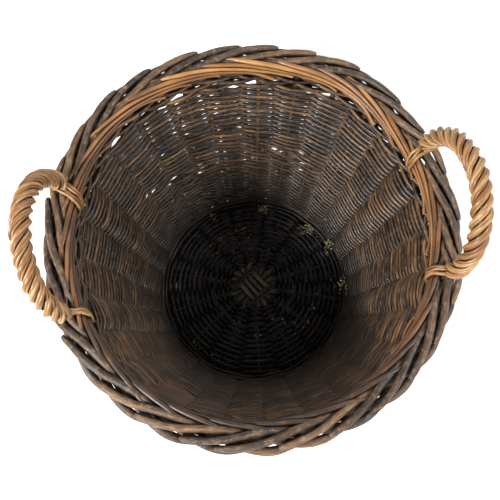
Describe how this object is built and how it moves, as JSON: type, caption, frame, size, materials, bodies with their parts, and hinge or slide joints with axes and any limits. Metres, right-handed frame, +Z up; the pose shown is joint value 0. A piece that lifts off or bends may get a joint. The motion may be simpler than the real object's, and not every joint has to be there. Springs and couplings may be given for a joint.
{
  "type": "wicker log basket",
  "caption": "Round tapering willow basket with a woven base and side, a rod border and a roped handle on each side.",
  "frame": {"origin": "on the ground, at the centre of the foot; the handles lie on the X axis", "axes": "+Z up, out of the basket's mouth; +X through the right handle; +Y to the back"},
  "size_m": [0.5196, 0.5204, 0.4768],
  "materials": {
    "stake": "unpeeled grey-brown willow, dry",
    "base_stick": "unpeeled dark willow, dry and dusty",
    "base_weave": "unpeeled dark willow, dry and dusty",
    "foot_wale": "unpeeled brown willow, worn where it bears",
    "side_weave": "unpeeled dark brown willow, slight sheen",
    "top_wale": "unpeeled dark brown willow, slight sheen",
    "inner_trac": "buff (boiled and peeled) willow, satin",
    "handle_bow": "buff willow, satin",
    "handle_roping": "golden buff willow, satin"
  },
  "bodies": {
    "root": {"stake_01": "stake", "stake_02": "stake", "stake_03": "stake", "stake_04": "stake", "stake_05": "stake", "stake_06": "stake", "stake_07": "stake", "stake_08": "stake", "stake_09": "stake", "stake_10": "stake", "stake_11": "stake", "stake_12": "stake", "stake_13": "stake", "stake_14": "stake", "stake_15": "stake", "stake_16": "stake", "stake_17": "stake", "stake_18": "stake", "stake_19": "stake", "stake_20": "stake", "stake_21": "stake", "stake_22": "stake", "stake_23": "stake", "stake_24": "stake", "stake_25": "stake", "stake_26": "stake", "stake_27": "stake", "stake_28": "stake", "base_stick_upper_1": "base_stick", "base_stick_upper_2": "base_stick", "base_stick_upper_3": "base_stick", "base_stick_upper_4": "base_stick", "base_stick_lower_1": "base_stick", "base_stick_lower_2": "base_stick", "base_stick_lower_3": "base_stick", "base_weave_1": "base_weave", "base_weave_2": "base_weave", "base_weave_3": "base_weave", "base_weave_4": "base_weave", "foot_wale_lower": "foot_wale", "foot_wale_upper": "foot_wale", "side_weave_01": "side_weave", "side_weave_02": "side_weave", "side_weave_03": "side_weave", "side_weave_04": "side_weave", "side_weave_05": "side_weave", "side_weave_06": "side_weave", "side_weave_07": "side_weave", "side_weave_08": "side_weave", "side_weave_09": "side_weave", "side_weave_10": "side_weave", "side_weave_11": "side_weave", "top_wale": "top_wale", "inner_trac_a": "inner_trac", "inner_trac_b": "inner_trac", "handle_bow_left": "handle_bow", "handle_bow_right": "handle_bow", "handle_roping_left": "handle_roping", "handle_roping_right": "handle_roping"}
  },
  "joints": []
}
